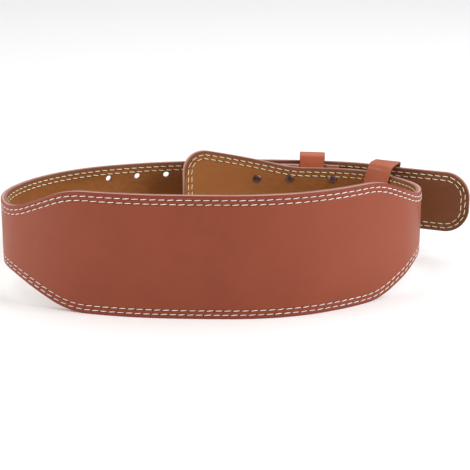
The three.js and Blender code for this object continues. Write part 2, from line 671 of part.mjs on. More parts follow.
// Rivet turned round the Y axis: head inside the belt, shank, cap outside the buckle strap
function makeRivet({ s, z }) {
  const head = -HALF_THICKNESS - GAP;
  const stack = s > FIXED_KEEPER_AT ? OUTER_LEG_LEVEL : INNER_LEG_LEVEL;
  const cap = stack + STRAP_LEATHER / 2 + GAP;
  const diameters = [RIVET_HEAD_DIAMETER, RIVET_SHANK_DIAMETER, RIVET_CAP_DIAMETER];
  const [headRadius, shank, capRadius] = diameters.map((diameter) => diameter / 2);
  const profile = [new THREE.Vector2(0, head - RIVET_HEAD_HEIGHT)];
  for (const t of RIVET_DOME_RINGS) {
    const fall = 1 - Math.sqrt(1 - t * t);
    profile.push(new THREE.Vector2(headRadius * t, head - RIVET_HEAD_HEIGHT * (1 - fall)));
  }
  profile.push(new THREE.Vector2(headRadius, head), new THREE.Vector2(shank, head));
  profile.push(new THREE.Vector2(shank, cap), new THREE.Vector2(capRadius, cap));
  profile.push(new THREE.Vector2(capRadius - GAP, cap + RIVET_CAP_HEIGHT));
  profile.push(new THREE.Vector2(0, cap + RIVET_CAP_HEIGHT));
  return setAcross(new THREE.LatheGeometry(profile, HOLE_SIDES), armPath, s, z, 0);
}

const belt = new THREE.Group();

function addPiece(name, geometry, color, roughness, metalness = 0) {
  const material = new THREE.MeshStandardMaterial({ color, roughness, metalness });
  const mesh = new THREE.Mesh(geometry, material);
  mesh.name = name;
  belt.add(mesh);
}

const leatherCutters = [...punchedHoles(), ...rivetHoles(), ...prongPassages];
const flesh = HALF_THICKNESS - OUTER_LEATHER;
const outerLeather = cutAll(beltLayer(flesh, HALF_THICKNESS, EDGE_BEVEL), leatherCutters);
const suedeLining = cutAll(beltLayer(-HALF_THICKNESS, LINING - HALF_THICKNESS, 0), leatherCutters);
addPiece('outer_leather', fromSolid(outerLeather), 0x9c4f3c, 0.5);
addPiece('suede_lining', fromSolid(suedeLining), 0x8a5a32, 0.95);
addPiece('buckle_strap', fromSolid(makeBuckleStrap()), 0xa8574a, 0.6);
addPiece('fixed_keeper', fromSolid(makeFixedKeeper()), 0xb85c3c, 0.45);
addPiece('sliding_keeper', fromSolid(makeSlidingKeeper()), 0xb85c3c, 0.45);
addPiece('buckle', fromSolid(makeBuckle()), 0xb9b9bd, 0.3, 1);
rivetPlaces.forEach((place, k) => addPiece(`rivet_${k + 1}`, makeRivet(place), 0x3b322e, 0.4, 0.9));

// The origin is the middle of the belt's footprint, on the surface that it stands on.
const bounds = new THREE.Box3().setFromObject(belt);
belt.position.set(-(bounds.min.x + bounds.max.x) / 2, -(bounds.min.y + bounds.max.y) / 2, 0);

export default belt;
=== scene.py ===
# Leather weightlifting belt: its looks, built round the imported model.
# Leather is cut flat, punched, rounded and sewn in millimetres, and then bent along the belt's plan.
# Flat pieces lie with their length along X, their width along Y and their outer face up.
import math
from bisect import bisect_left

import bmesh
import bpy
from mathutils import Matrix, Vector


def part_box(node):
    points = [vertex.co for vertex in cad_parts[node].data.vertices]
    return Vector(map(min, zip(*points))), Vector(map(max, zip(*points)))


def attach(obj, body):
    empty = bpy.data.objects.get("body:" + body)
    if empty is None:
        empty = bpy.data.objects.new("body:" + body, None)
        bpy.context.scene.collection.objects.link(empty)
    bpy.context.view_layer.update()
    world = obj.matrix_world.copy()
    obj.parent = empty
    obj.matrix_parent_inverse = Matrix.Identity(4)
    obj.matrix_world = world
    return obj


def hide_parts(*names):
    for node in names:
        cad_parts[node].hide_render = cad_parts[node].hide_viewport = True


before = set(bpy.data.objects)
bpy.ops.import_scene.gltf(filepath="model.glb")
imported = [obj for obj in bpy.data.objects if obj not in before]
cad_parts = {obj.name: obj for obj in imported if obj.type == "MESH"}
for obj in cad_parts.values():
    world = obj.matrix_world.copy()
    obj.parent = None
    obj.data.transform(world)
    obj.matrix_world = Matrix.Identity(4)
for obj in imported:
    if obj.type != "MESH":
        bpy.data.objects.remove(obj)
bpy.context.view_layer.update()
MM = 0.001

# Widths and lengths of the flat-cut belt, measured from the middle of the wide back
BACK_WIDTH = 102
BACK_HALF_LENGTH = 133
TAPER_LENGTH = 58.5
STRAP_WIDTH = 55
ARM_LENGTH = 477.5
PAD_LENGTH = 105.5
PAD_END_WIDTH = 103.6
TIP_LENGTH = 93.5
PAD_CORNER_RADIUS = 24.5
TIP_CORNER_RADIUS = 22.5
SHOULDER_EASE = 16
PAD_EASE = 12

# Leather thicknesses, and the gap that touching pieces keep
OUTER_LEATHER = 3
LINING = 2.1
STRAP_LEATHER = 2
KEEPER_LEATHER = 1.8
GAP = 0.3
THICKNESS = OUTER_LEATHER + GAP + LINING
HALF_THICKNESS = THICKNESS / 2

# Distances along the arm from one piece of the hardware to the next, starting at the pad's end
BAR_FROM_PAD_END = 60
RIVETS_FROM_BAR = 11
FIXED_KEEPER_FROM_BAR = 62.2
RIVETS_BEFORE_KEEPER = 9.5
RIVETS_BEYOND_KEEPER = 8.8
STRAP_PAST_RIVETS = 5
SLIDING_KEEPER_FROM_STRAP = 23.3
RIVET_ROW_SPACING = 27
BUCKLE_STRAP_WIDTH = 51

# Punched holes and prongs
HOLE_DIAMETER = 5.5
HOLE_PITCH = 27.4
HOLE_ROW_SPACING = 32
HOLE_PAIRS_BEFORE_PRONGS = 4
HOLE_PAIRS_PAST_PRONGS = 3
PRONG_REACH = 17.1
PRONG_DIAMETER = 3.4
PRONG_OVERHANG = 3.5
# Where a prong pulls, its hole is longer and leans: the two layers are punched apart
PRONG_HOLE_LENGTH = 10.5
OUTER_PRONG_SHIFT = 2
INNER_PRONG_SHIFT = -1.8

# Keepers and lap
FIXED_KEEPER_WIDTH = 22
FIXED_KEEPER_ROOM_BELOW = 1.5
FIXED_KEEPER_ROOM_ABOVE = 5.9
SLIDING_KEEPER_WIDTH = 24
SLIDING_KEEPER_ROOM_BELOW = 0.6
SLIDING_KEEPER_ROOM_ABOVE = 3.8
SLIDING_KEEPER_LEAN = 0.23
KEEPER_SLACK = 0.9
KEEPER_TOP_RADIUS = 6
KEEPER_FOLD_RADIUS = 2.6
LAP_SLACK = 4.7
LAP_PLAY = 0.45
TIP_INSIDE_KEEPER = 4.2

# Buckle frame
BUCKLE_LENGTH = 38
BUCKLE_THICKNESS = 4
HEEL_BAR_WIDTH = 4
FRONT_BAR_WIDTH = 5
HEEL_SIDE_WIDTH = 2.9
FRONT_SIDE_WIDTH = 4.65
BUCKLE_SIDE_PLAY = 0.6
BUCKLE_FLARE = 1.75
BUCKLE_CORNER_RADIUS = 5
BAR_PLAY = 0.8
FRONT_BAR_PLAY = 1
FOLD_TURN = 215
FOLD_STEPS = 20

# Rivets
RIVET_HEAD_DIAMETER = 8
RIVET_HEAD_HEIGHT = 1.2
RIVET_SHANK_DIAMETER = 3.2
RIVET_CAP_DIAMETER = 7
RIVET_CAP_HEIGHT = 0.7

# Bends seen from above, in degrees for each stretch
DROP_FROM = 200
DROP_LENGTH = 80
ARM_TURNS = [12.2, 14.9, 10.5, 9.1, 27.8, 30.4, 21, 37.9, 13.7, 4.2, 14.9, 13.1]
LEFT_BACK_TURNS = [4.8, 11.9, 22.1]
LEFT_CORNER_TURNS = [35.4, 32.8, 21.3]
LEFT_CORNER_STEP = 41.6
LEFT_RUN_TURNS = [28.5, 14.6]
TIP_TURNS = [-6.8, 0.2, -1.8]
PATH_STEP = 2
CHORD_STEPS = 16

# Seams: two rows run round the whole belt
SEAM_ROWS = [3.5, 7.1]
STITCH_PITCH = 7.05
STITCH_LENGTH = 6.1
THREAD_WIDTH = 0.78
THREAD_SLANT = 4
NEEDLE_HOLE = 1.3
THREAD_SINK = 0.1

# Bands along the cut edge, where their colour starts and ends to fade
BURNISHED_BAND = (7.7, 8.9)
DYED_MARGIN = (1.9, 2.7)

# Painted shade darkens the suede towards the tip, and painted light makes it paler on the pad
TIP_PAINTED_SHADE_AT_END = 0.7
TIP_PAINTED_SHADE_AT_START = 0.3
PAD_PAINTED_LIGHT_SHARE = 0.45
PAD_PAINTED_LIGHT_GAIN = 1.35

# Fineness of the cut pieces
CUT_STEP = 4
CORNER_STEPS = 16
HOLE_POINTS = 24
HOLE_MARGIN = 1.3
HOLE_ROUNDING = 0.35
EDGE_MARGIN = 1.7
EDGE_ROUNDING = 0.8
SEAM_ROUNDING = 0.25

BACK_CENTRE_Z = BACK_WIDTH / 2
TONGUE_CENTRE_Z = BACK_CENTRE_Z
BACK_ROW = (0, BACK_WIDTH / 2, 0)
SHOULDER_ROWS = [
    (BACK_HALF_LENGTH, BACK_WIDTH / 2, SHOULDER_EASE),
    (BACK_HALF_LENGTH + TAPER_LENGTH, STRAP_WIDTH / 2, SHOULDER_EASE),
]
# Corners of the cut line: station, half the width there, and easing
ARM_CUT = [
    BACK_ROW,
    *SHOULDER_ROWS,
    (ARM_LENGTH - PAD_LENGTH, STRAP_WIDTH / 2, PAD_EASE),
    (ARM_LENGTH, PAD_END_WIDTH / 2, 0),
]
TONGUE_CUT = [BACK_ROW, *SHOULDER_ROWS]


def slope_after(rows, i):
    if i < 0 or i >= len(rows) - 1:
        return 0
    return (rows[i + 1][1] - rows[i][1]) / (rows[i + 1][0] - rows[i][0])


def cut_line(rows, distance):
    """Half the width of the flat belt, without its end corners."""
    i = max(0, sum(row[0] <= distance for row in rows) - 1)
    half = rows[i][1] + slope_after(rows, i) * (distance - rows[i][0])
    for k, (at, _, ease) in enumerate(rows):
        reach = ease - abs(distance - at)
        if reach > 0:
            half += (slope_after(rows, k) - slope_after(rows, k - 1)) * reach * reach / (4 * ease)
    return half


def corner_cut(distance, end, radius):
    inside = min(radius, distance - (end - radius))
    return radius - math.sqrt(radius * radius - inside * inside) if inside > 0 else 0


class PlanPath:
    """A line seen from above. Its side is 1 where the loop's outside lies right of the heading."""

    def __init__(self, samples, side):
        self.samples = samples
        self.stations = [sample[0] for sample in samples]
        self.length = self.stations[-1]
        self.side = side

    def at(self, s, offset=0):
        i = min(max(bisect_left(self.stations, s), 1), len(self.stations) - 1)
        before, after = self.samples[i - 1], self.samples[i]
        t = (s - before[0]) / (after[0] - before[0])
        _, x, y, heading = [a + (b - a) * t for a, b in zip(before, after)]
        outward = Vector((math.sin(heading), -math.cos(heading))) * self.side
        return Vector((x, y)) + outward * offset, outward


def walk(start, stretches, sense):
    samples = [start]
    s, x, y, heading = start
    for length, turn in stretches:
        steps = math.ceil(abs(length) / PATH_STEP)
        bend = sense * math.radians(turn) / steps
        step = length / steps
        for _ in range(steps):
            x += step * math.cos(heading + bend / 2)
            y += step * math.sin(heading + bend / 2)
            heading += bend
            s += step
            samples.append((s, x, y, heading))
    return samples


arm_stretches = [(ARM_LENGTH / len(ARM_TURNS), turn) for turn in ARM_TURNS]
arm = PlanPath(walk((0, 0, 0, 0), arm_stretches, 1), 1)

# Places of the hardware, as stations of the arm from the middle of the back
BUCKLE_BAR_AT = ARM_LENGTH - BAR_FROM_PAD_END
FIXED_KEEPER_AT = BUCKLE_BAR_AT - FIXED_KEEPER_FROM_BAR
KEEPER_FROM = FIXED_KEEPER_AT - FIXED_KEEPER_WIDTH / 2
KEEPER_TO = FIXED_KEEPER_AT + FIXED_KEEPER_WIDTH / 2
RIVETS_AT = [
    BUCKLE_BAR_AT - RIVETS_FROM_BAR,
    KEEPER_TO + RIVETS_BEFORE_KEEPER,
    KEEPER_FROM - RIVETS_BEYOND_KEEPER,
]
BUCKLE_STRAP_END = RIVETS_AT[2] - STRAP_PAST_RIVETS
SLIDING_KEEPER_AT = BUCKLE_STRAP_END - SLIDING_KEEPER_FROM_STRAP - SLIDING_KEEPER_WIDTH / 2

# Layers between the arm's middle and the pieces on its outside
ON_ARM = HALF_THICKNESS + GAP
INNER_LEG_LEVEL = ON_ARM + STRAP_LEATHER / 2
OUTER_LEG_LEVEL = ON_ARM + STRAP_LEATHER + GAP + STRAP_LEATHER / 2
FOLD_RADIUS = BUCKLE_THICKNESS / 2 + BAR_PLAY + STRAP_LEATHER / 2
BAR_LEVEL = INNER_LEG_LEVEL + FOLD_RADIUS
LAP = [
    (SLIDING_KEEPER_AT + SLIDING_KEEPER_WIDTH / 2 - TIP_INSIDE_KEEPER, THICKNESS + LAP_SLACK),
    (KEEPER_FROM, OUTER_LEG_LEVEL + STRAP_LEATHER / 2 + LAP_PLAY + HALF_THICKNESS),
    (BUCKLE_BAR_AT, BAR_LEVEL + FOLD_RADIUS + STRAP_LEATHER / 2 + LAP_PLAY + HALF_THICKNESS),
]
LAP_FROM, LAP_TO = LAP[0][0], LAP[-1][0]


def lap_distance(s):
    """How far the tongue's middle lies outside the arm's."""
    (start, near), (end, far) = LAP[:2] if s < LAP[1][0] else LAP[1:]
    return near + (far - near) * (s - start) / (end - start)


def heading_between(a, b):
    return math.atan2(b.y - a.y, b.x - a.x)


lap_steps = math.ceil((LAP_TO - LAP_FROM) / PATH_STEP)
lap_stations = [LAP_TO + (LAP_FROM - LAP_TO) * k / lap_steps for k in range(lap_steps + 1)]
lap_places = [arm.at(s, lap_distance(s))[0] for s in lap_stations]


def unit_chord(heading, turn):
    _, x, y, _ = walk((0, 0, 0, heading), [(1, turn / CHORD_STEPS)] * CHORD_STEPS, -1)[-1]
    return Vector((x, y)) / CHORD_STEPS


def tongue_stretches():
    """The back and the run to the lap are as long as it takes for the belt to close on the arm."""
    turns = [*LEFT_BACK_TURNS, *LEFT_CORNER_TURNS, *LEFT_RUN_TURNS]
    lap_heading = math.degrees(heading_between(lap_places[0], lap_places[1]))
    turns.append(180 - lap_heading - sum(turns))
    sums = [Vector((0, 0)) for _ in range(3)]
    heading = math.pi
    for k, turn in enumerate(turns):
        sums[k // 3] += unit_chord(heading, turn)
        heading -= math.radians(turn)
    back, corner, run = sums
    rest = lap_places[0] - corner * LEFT_CORNER_STEP
    scale = back.cross(run)
    lengths = [rest.cross(run) / scale, LEFT_CORNER_STEP, back.cross(rest) / scale]
    return [(lengths[k // 3], turn) for k, turn in enumerate(turns)]


left_stretches = tongue_stretches()
samples = walk((0, 0, 0, math.pi), left_stretches, -1)
for k in range(1, len(lap_places)):
    ahead = lap_places[min(k + 1, len(lap_places) - 1)]
    s = samples[-1][0] + (lap_places[k] - lap_places[k - 1]).length
    samples.append((s, *lap_places[k], heading_between(lap_places[k - 1], ahead)))
tip_stretches = [(TIP_LENGTH / len(TIP_TURNS), turn) for turn in TIP_TURNS]
tongue = PlanPath(samples + walk(samples[-1], tip_stretches, -1)[1:], -1)
TONGUE_BAR_AT = sum(length for length, _ in left_stretches)
PRONGS_AT = TONGUE_BAR_AT - PRONG_REACH


def half_width(u):
    """Half the flat belt's width: the arm's stations count up from the middle, the tongue's down."""
    if u >= 0:
        return cut_line(ARM_CUT, u) - corner_cut(u, ARM_LENGTH, PAD_CORNER_RADIUS)
    return cut_line(TONGUE_CUT, -u) - corner_cut(-u, tongue.length, TIP_CORNER_RADIUS)


def belt_stations(step):
    """Even steps along the belt, with fine ones round its end corners"""
    first = -tongue.length + TIP_CORNER_RADIUS
    last = ARM_LENGTH - PAD_CORNER_RADIUS
    count = math.ceil((last - first) / step)
    middle = [first + (last - first) * k / count for k in range(1, count)]
    quarter = [math.sin(math.pi / 2 * k / CORNER_STEPS) for k in range(CORNER_STEPS + 1)]
    tip = [first - TIP_CORNER_RADIUS * share for share in reversed(quarter)]
    return [*tip, *middle, *(last + PAD_CORNER_RADIUS * share for share in quarter)]


pad_half = max(half_width(u) for u in belt_stations(1) if u > ARM_LENGTH - PAD_LENGTH)
ARM_DROP = BACK_CENTRE_Z - pad_half


def arm_centre_z(s):
    t = min(max((s - DROP_FROM) / DROP_LENGTH, 0), 1)
    return BACK_CENTRE_Z - ARM_DROP * t * t * (3 - 2 * t)


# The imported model's origin, seen from the middle of the back
leather_low, leather_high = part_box("outer_leather")
SHIFT = Vector((
    leather_high[0] / MM - tongue.at(tongue.length, HALF_THICKNESS)[0].x,
    leather_low[1] / MM + HALF_THICKNESS,
))


def stand(place, z):
    """A place in plan and a height, as a point of the finished part in metres"""
    return Vector((place.x + SHIFT.x, place.y + SHIFT.y, z)) * MM


def bend_belt(flat):
    """Where a point of the flat belt lies once the belt is bent and closed"""
    u, v, w = flat
    if u >= 0:
        return stand(arm.at(u, w)[0], arm_centre_z(u) + v)
    return stand(tongue.at(-u, w)[0], TONGUE_CENTRE_Z + v)


# Materials


def start_material(name, roughness, **sockets):
    material = bpy.data.materials.new(name)
    material.use_nodes = True
    shader = material.node_tree.nodes["Principled BSDF"]
    shader.inputs["Roughness"].default_value = roughness
    for socket, value in sockets.items():
        shader.inputs[socket.replace("_", " ").title().replace("Ior", "IOR")].default_value = value
    return material, material.node_tree, shader


def add_node(tree, kind, links=(), **settings):
    node = tree.nodes.new(kind)
    for key, value in settings.items():
        if hasattr(node, key):
            setattr(node, key, value)
        else:
            node.inputs[key.replace("_", " ").title()].default_value = value
    for socket, source in dict(links).items():
        tree.links.new(source, node.inputs[socket])
    return node


def noise(tree, scale, detail=3.0, roughness=0.55, distortion=0.0, coordinates=None):
    place = coordinates or add_node(tree, "ShaderNodeTexCoord").outputs["Object"]
    node = add_node(tree, "ShaderNodeTexNoise", {"Vector": place}, scale=scale, detail=detail)
    node.inputs["Roughness"].default_value = roughness
    node.inputs["Distortion"].default_value = distortion
    return node.outputs["Fac"]


def ramp(tree, value, stops):
    node = add_node(tree, "ShaderNodeValToRGB", {"Fac": value})
    elements = node.color_ramp.elements
    while len(elements) < len(stops):
        elements.new(0.5)
    for element, (position, color) in zip(elements, stops):
        element.position = position
        element.color = (*color, 1)
    return node.outputs["Color"]


def mix_colors(tree, share, first, second):
    node = tree.nodes.new("ShaderNodeMix")
    node.data_type = "RGBA"
    for socket, value in zip((node.inputs[0], node.inputs[6], node.inputs[7]), (share, first, second)):
        if isinstance(value, bpy.types.NodeSocket):
            tree.links.new(value, socket)
        else:
            socket.default_value = value if isinstance(value, float) else (*value, 1)
    return node.outputs[2]


def compute(tree, operation, first, second=0.0, third=0.0):
    node = tree.nodes.new("ShaderNodeMath")
    node.operation = operation
    for socket, value in zip(node.inputs, (first, second, third)):
        if isinstance(value, bpy.types.NodeSocket):
            tree.links.new(value, socket)
        else:
            socket.default_value = value
    return node.outputs[0]


def span(tree, value, low, high, to_low=0.0, to_high=1.0):
    node = tree.nodes.new("ShaderNodeMapRange")
    tree.links.new(value, node.inputs["Value"])
    for socket, number in zip(node.inputs[1:5], (low, high, to_low, to_high)):
        socket.default_value = number
    return node.outputs["Result"]


def raise_surface(tree, shader, *layers):
    """Bump layers: each is a height between 0 and 1, and its depth in millimetres"""
    normal = None
    for height, depth in layers:
        node = add_node(tree, "ShaderNodeBump", {"Height": height})
        node.inputs["Strength"].default_value = 1
        node.inputs["Distance"].default_value = depth * MM
        if normal:
            tree.links.new(normal, node.inputs["Normal"])
        normal = node.outputs["Normal"]
    tree.links.new(normal, shader.inputs["Normal"])


def on_the_cut(tree):
    """Places along and across the flat-cut belt, from the cut's own map"""
    cut = add_node(tree, "ShaderNodeUVMap", uv_map="cut").outputs["UV"]
    place = add_node(tree, "ShaderNodeSeparateXYZ", {"Vector": cut})
    return place.outputs["X"], place.outputs["Y"]


def from_cut_edge(tree):
    """Distance from the belt's cut edge, from the cut's own map and half width"""
    _, across = on_the_cut(tree)
    half = add_node(tree, "ShaderNodeAttribute", attribute_name="half_width").outputs["Fac"]
    return compute(tree, "SUBTRACT", half, compute(tree, "ABSOLUTE", across))


def seam_lines(tree, distance, width):
    """1 on the two seam lines and 0 away from them"""
    lines = 0.0
    for row in SEAM_ROWS:
        away = compute(tree, "ABSOLUTE", compute(tree, "SUBTRACT", distance, row * MM))
        line = span(tree, away, 0.2 * width * MM, width * MM, 1, 0)
        lines = compute(tree, "MAXIMUM", line, lines)
    return lines


def smooth_leather(name, dark, middle, light, roughness=0.46, seams=False):
    material, tree, shader = start_material(name, roughness, specular_ior_level=0.3)
    blotches = noise(tree, 12, 4, 0.55, 0.5)
    cloud = noise(tree, 60, 4, 0.6)
    tone = compute(tree, "MULTIPLY_ADD", cloud, 0.4, compute(tree, "MULTIPLY", blotches, 0.6))
    color = ramp(tree, tone, [(0.28, dark), (0.5, middle), (0.74, light)])
    specks = noise(tree, 700, 3, 0.7)
    color = mix_colors(tree, span(tree, specks, 0.35, 0.7, 0.16, 0), color, dark)
    cells = add_node(tree, "ShaderNodeTexVoronoi", {
        "Vector": add_node(tree, "ShaderNodeTexCoord").outputs["Object"],
    }, scale=1100)
    cells.feature = "DISTANCE_TO_EDGE"
    creases = span(tree, cells.outputs["Distance"], 0, 0.22)
    layers = [(noise(tree, 70, 3), 0.14), (creases, 0.025), (specks, 0.02)]
    if seams:
        distance = from_cut_edge(tree)
        band_from, band_to = (edge * MM for edge in BURNISHED_BAND)
        color = mix_colors(tree, span(tree, distance, band_from, band_to, 0.6, 0), color, dark)
        lines = seam_lines(tree, distance, 1.2)
        # Painted shade: the leather darkens along the seam grooves under the stitches
        color = mix_colors(tree, compute(tree, "MULTIPLY", lines, 0.45), color, tuple(0.55 * c for c in dark))
        layers.insert(0, (compute(tree, "SUBTRACT", 1.0, lines), 0.35))
    tree.links.new(color, shader.inputs["Base Color"])
    rough = span(tree, cloud, 0.3, 0.7, roughness - 0.05, roughness + 0.06)
    tree.links.new(rough, shader.inputs["Roughness"])
    raise_surface(tree, shader, *layers)
    return material


def napped_suede(name, dark, middle, light, dyed_edge):
    """Brushed along the belt, dyed along its cut edge, with painted shade towards the tip and painted light
    on the pad
    """
    material, tree, shader = start_material(name, 0.95, specular_ior_level=0.1, sheen_weight=0.08)
    shader.inputs["Sheen Roughness"].default_value = 0.5
    shader.inputs["Sheen Tint"].default_value = (0.9, 0.55, 0.3, 1)
    place = add_node(tree, "ShaderNodeTexCoord").outputs["Object"]
    lengthwise = add_node(tree, "ShaderNodeMapping", {"Vector": place}).outputs["Vector"]
    lengthwise.node.inputs["Scale"].default_value = (1, 1, 2.5)
    brushed = noise(tree, 22, 4, 0.6, 0.1, lengthwise)
    streaks = noise(tree, 160, 4, 0.65, 0.1, lengthwise)
    tone = compute(tree, "MULTIPLY_ADD", streaks, 0.45, compute(tree, "MULTIPLY", brushed, 0.55))
    color = ramp(tree, tone, [(0.3, dark), (0.5, middle), (0.7, light)])
    along, _ = on_the_cut(tree)
    # Painted shade: the suede darkens towards the tip's end
    tip_end, tip_start = -tongue.length * MM, (TIP_LENGTH - tongue.length) * MM
    tip_painted_shade = span(tree, along, tip_end, tip_start, TIP_PAINTED_SHADE_AT_END, TIP_PAINTED_SHADE_AT_START)
    tip_painted_shade = compute(tree, "MULTIPLY", tip_painted_shade, compute(tree, "LESS_THAN", along, tip_start))
    color = mix_colors(tree, tip_painted_shade, color, dyed_edge)
    # Painted light: the suede turns paler over the pad
    pad_start, pad_middle = (ARM_LENGTH - PAD_LENGTH) * MM, (ARM_LENGTH - PAD_LENGTH / 2) * MM
    pad_painted_light = span(tree, along, pad_start, pad_middle, 0, PAD_PAINTED_LIGHT_SHARE)
    color = mix_colors(tree, pad_painted_light, color, tuple(PAD_PAINTED_LIGHT_GAIN * c for c in light))
    fibres = noise(tree, 1400, 3, 0.75)
    color = mix_colors(tree, span(tree, fibres, 0.35, 0.65, 0.22, 0), color, dark)
    distance = from_cut_edge(tree)
    dye_from, dye_to = (edge * MM for edge in DYED_MARGIN)
    color = mix_colors(tree, span(tree, distance, dye_from, dye_to, 0.85, 0), color, dyed_edge)
    lines = seam_lines(tree, distance, 1.3)
    # Painted shade: the suede darkens along the seam grooves under the stitches
    color = mix_colors(tree, compute(tree, "MULTIPLY", lines, 0.5), color, tuple(0.5 * c for c in dark))
    tree.links.new(color, shader.inputs["Base Color"])
    raise_surface(
        tree, shader,
        (compute(tree, "SUBTRACT", 1.0, lines), 0.4),
        (streaks, 0.25),
        (fibres, 0.1),
    )
    return material


def cut_edge(name, dark, light, roughness=0.75, gloss=0.3):
    material, tree, shader = start_material(name, roughness, specular_ior_level=gloss)
    fibres = noise(tree, 420, 5, 0.7)
    drift = noise(tree, 30, 2)
    tone = compute(tree, "MULTIPLY_ADD", fibres, 0.5, compute(tree, "MULTIPLY", drift, 0.5))
    tree.links.new(ramp(tree, tone, [(0.35, dark), (0.65, light)]), shader.inputs["Base Color"])
    raise_surface(tree, shader, (fibres, 0.08))
    return material


def worn_metal(name, dark, light, roughness):
    material, tree, shader = start_material(name, roughness, metallic=1.0)
    clouds = noise(tree, 180, 4, 0.6)
    scratches = noise(tree, 900, 2, 0.6, 1.5)
    tree.links.new(ramp(tree, clouds, [(0.35, dark), (0.7, light)]), shader.inputs["Base Color"])
    rough = span(tree, clouds, 0.3, 0.7, roughness - 0.08, roughness + 0.12)
    tree.links.new(rough, shader.inputs["Roughness"])
    raise_surface(tree, shader, (scratches, 0.015))
    return material


def sewing_thread(name, dark, light):
    material, tree, shader = start_material(name, 0.7, specular_ior_level=0.3, sheen_weight=0.1)
    strands = noise(tree, 1500, 2, 0.6, 1.0)
    drift = noise(tree, 45, 3)
    tone = compute(tree, "MULTIPLY_ADD", strands, 0.4, compute(tree, "MULTIPLY", drift, 0.6))
    tree.links.new(ramp(tree, tone, [(0.35, dark), (0.6, light)]), shader.inputs["Base Color"])
    raise_surface(tree, shader, (strands, 0.12))
    return material


def plain_finish(name, color, roughness):
    material, _, shader = start_material(name, roughness, specular_ior_level=0.2)
    shader.inputs["Base Color"].default_value = (*color, 1)
    return material


russet = smooth_leather(
    "russet_leather", (0.22, 0.041, 0.0155), (0.25, 0.05, 0.0185), (0.275, 0.058, 0.0225), 0.44, seams=True,
)
burnished = smooth_leather(
    "burnished_edge", (0.17, 0.025, 0.015), (0.22, 0.036, 0.022), (0.27, 0.052, 0.034), 0.36,
)
dyed_rim = cut_edge("dyed_leather_rim", (0.46, 0.19, 0.145), (0.7, 0.37, 0.3), 0.45, 0.5)
suede_rim = cut_edge("suede_rim", (0.2, 0.115, 0.08), (0.38, 0.25, 0.19), 0.8)
suede = napped_suede(
    "napped_suede", (0.19, 0.066, 0.018), (0.25, 0.09, 0.026), (0.3, 0.115, 0.036), (0.17, 0.07, 0.046),
)
strap_russet = smooth_leather("strap_leather", (0.3, 0.1, 0.07), (0.38, 0.14, 0.1), (0.44, 0.18, 0.13))
strap_rim = cut_edge("strap_rim", (0.55, 0.42, 0.34), (0.78, 0.64, 0.55))
keeper_red = smooth_leather(
    "keeper_leather", (0.34, 0.07, 0.03), (0.44, 0.115, 0.055), (0.52, 0.165, 0.085), 0.38,
)
keeper_rim = cut_edge("keeper_rim", (0.12, 0.035, 0.018), (0.24, 0.085, 0.048))
pale_thread = sewing_thread("pale_thread", (0.7, 0.56, 0.48), (0.95, 0.85, 0.77))
cream_thread = sewing_thread("cream_thread", (0.86, 0.74, 0.48), (0.98, 0.92, 0.7))
# Painted shade: near-black finish for the shade inside the needle holes
needle_hole_shade = plain_finish("needle_hole_shade", (0.03, 0.012, 0.008), 0.9)
rivet_metal = worn_metal("dark_rivet_metal", (0.1, 0.055, 0.048), (0.2, 0.12, 0.1), 0.42)
buckle_steel = worn_metal("buckle_steel", (0.5, 0.5, 0.51), (0.68, 0.68, 0.69), 0.3)


# Cutting, rounding and finishing


def cut_out(outline, holes, low, high):
    """A flat-cut solid between two heights"""
    pattern = bpy.data.curves.new("pattern", "CURVE")
    pattern.dimensions = "2D"
    pattern.fill_mode = "BOTH"
    pattern.extrude = (high - low) / 2
    for loop in [outline, *holes]:
        spline = pattern.splines.new("POLY")
        spline.points.add(len(loop) - 1)
        for point, (x, y) in zip(spline.points, loop):
            point.co = (x, y, 0, 1)
        spline.use_cyclic_u = True
    sheet = bpy.data.objects.new("pattern", pattern)
    mesh = bpy.data.meshes.new_from_object(sheet)
    bm = bmesh.new()
    bm.from_mesh(mesh)
    bpy.data.objects.remove(sheet)
    bpy.data.curves.remove(pattern)
    bpy.data.meshes.remove(mesh)
    bmesh.ops.remove_doubles(bm, verts=bm.verts, dist=0.005)
    bmesh.ops.translate(bm, verts=bm.verts, vec=(0, 0, (low + high) / 2))
    bmesh.ops.recalc_face_normals(bm, faces=bm.faces)
    return bm


def round_face(bm, z, rounding, margin, margin_material, segments=3):
    """Rounds the edges of the flat faces at a height, and marks the margin along them."""
    flat = [f for f in bm.faces if abs(f.normal.z) > 0.9 and abs(f.calc_center_median().z - z) < 0.02]
    ring = bmesh.ops.inset_region(bm, faces=flat, thickness=margin, use_boundary=True, use_even_offset=True)
    for face in ring["faces"]:
        face.material_index = margin_material
    rim = [e for e in bm.edges if all(abs(v.co.z - z) < 0.02 for v in e.verts)
           and any(abs(f.normal.z) < 0.5 for f in e.link_faces)]
    bmesh.ops.bevel(
        bm, geom=rim, offset=rounding, offset_type="OFFSET", segments=segments,
        profile=0.5, affect="EDGES", material=-1, clamp_overlap=True,
    )


def slice_along(bm, axis, places):
    """Edges right across a piece, where it can bend"""
    direction = Vector((0, 0, 0))
    direction[axis] = 1
    for place in places:
        bmesh.ops.bisect_plane(
            bm, geom=[*bm.verts, *bm.edges, *bm.faces], dist=0.002,
            plane_co=direction * place, plane_no=direction,
        )


def finish_piece(name, bm, materials, nodes=()):
    bmesh.ops.recalc_face_normals(bm, faces=bm.faces)
    for face in bm.faces:
        face.smooth = True
    mesh = bpy.data.meshes.new(name)
    bm.to_mesh(mesh)
    bm.free()
    for material in materials:
        mesh.materials.append(material)
    piece = bpy.data.objects.new(name, mesh)
    bpy.context.scene.collection.objects.link(piece)
    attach(piece, "root")
    if nodes:
        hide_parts(*nodes)
    return piece


# The two layers of the belt


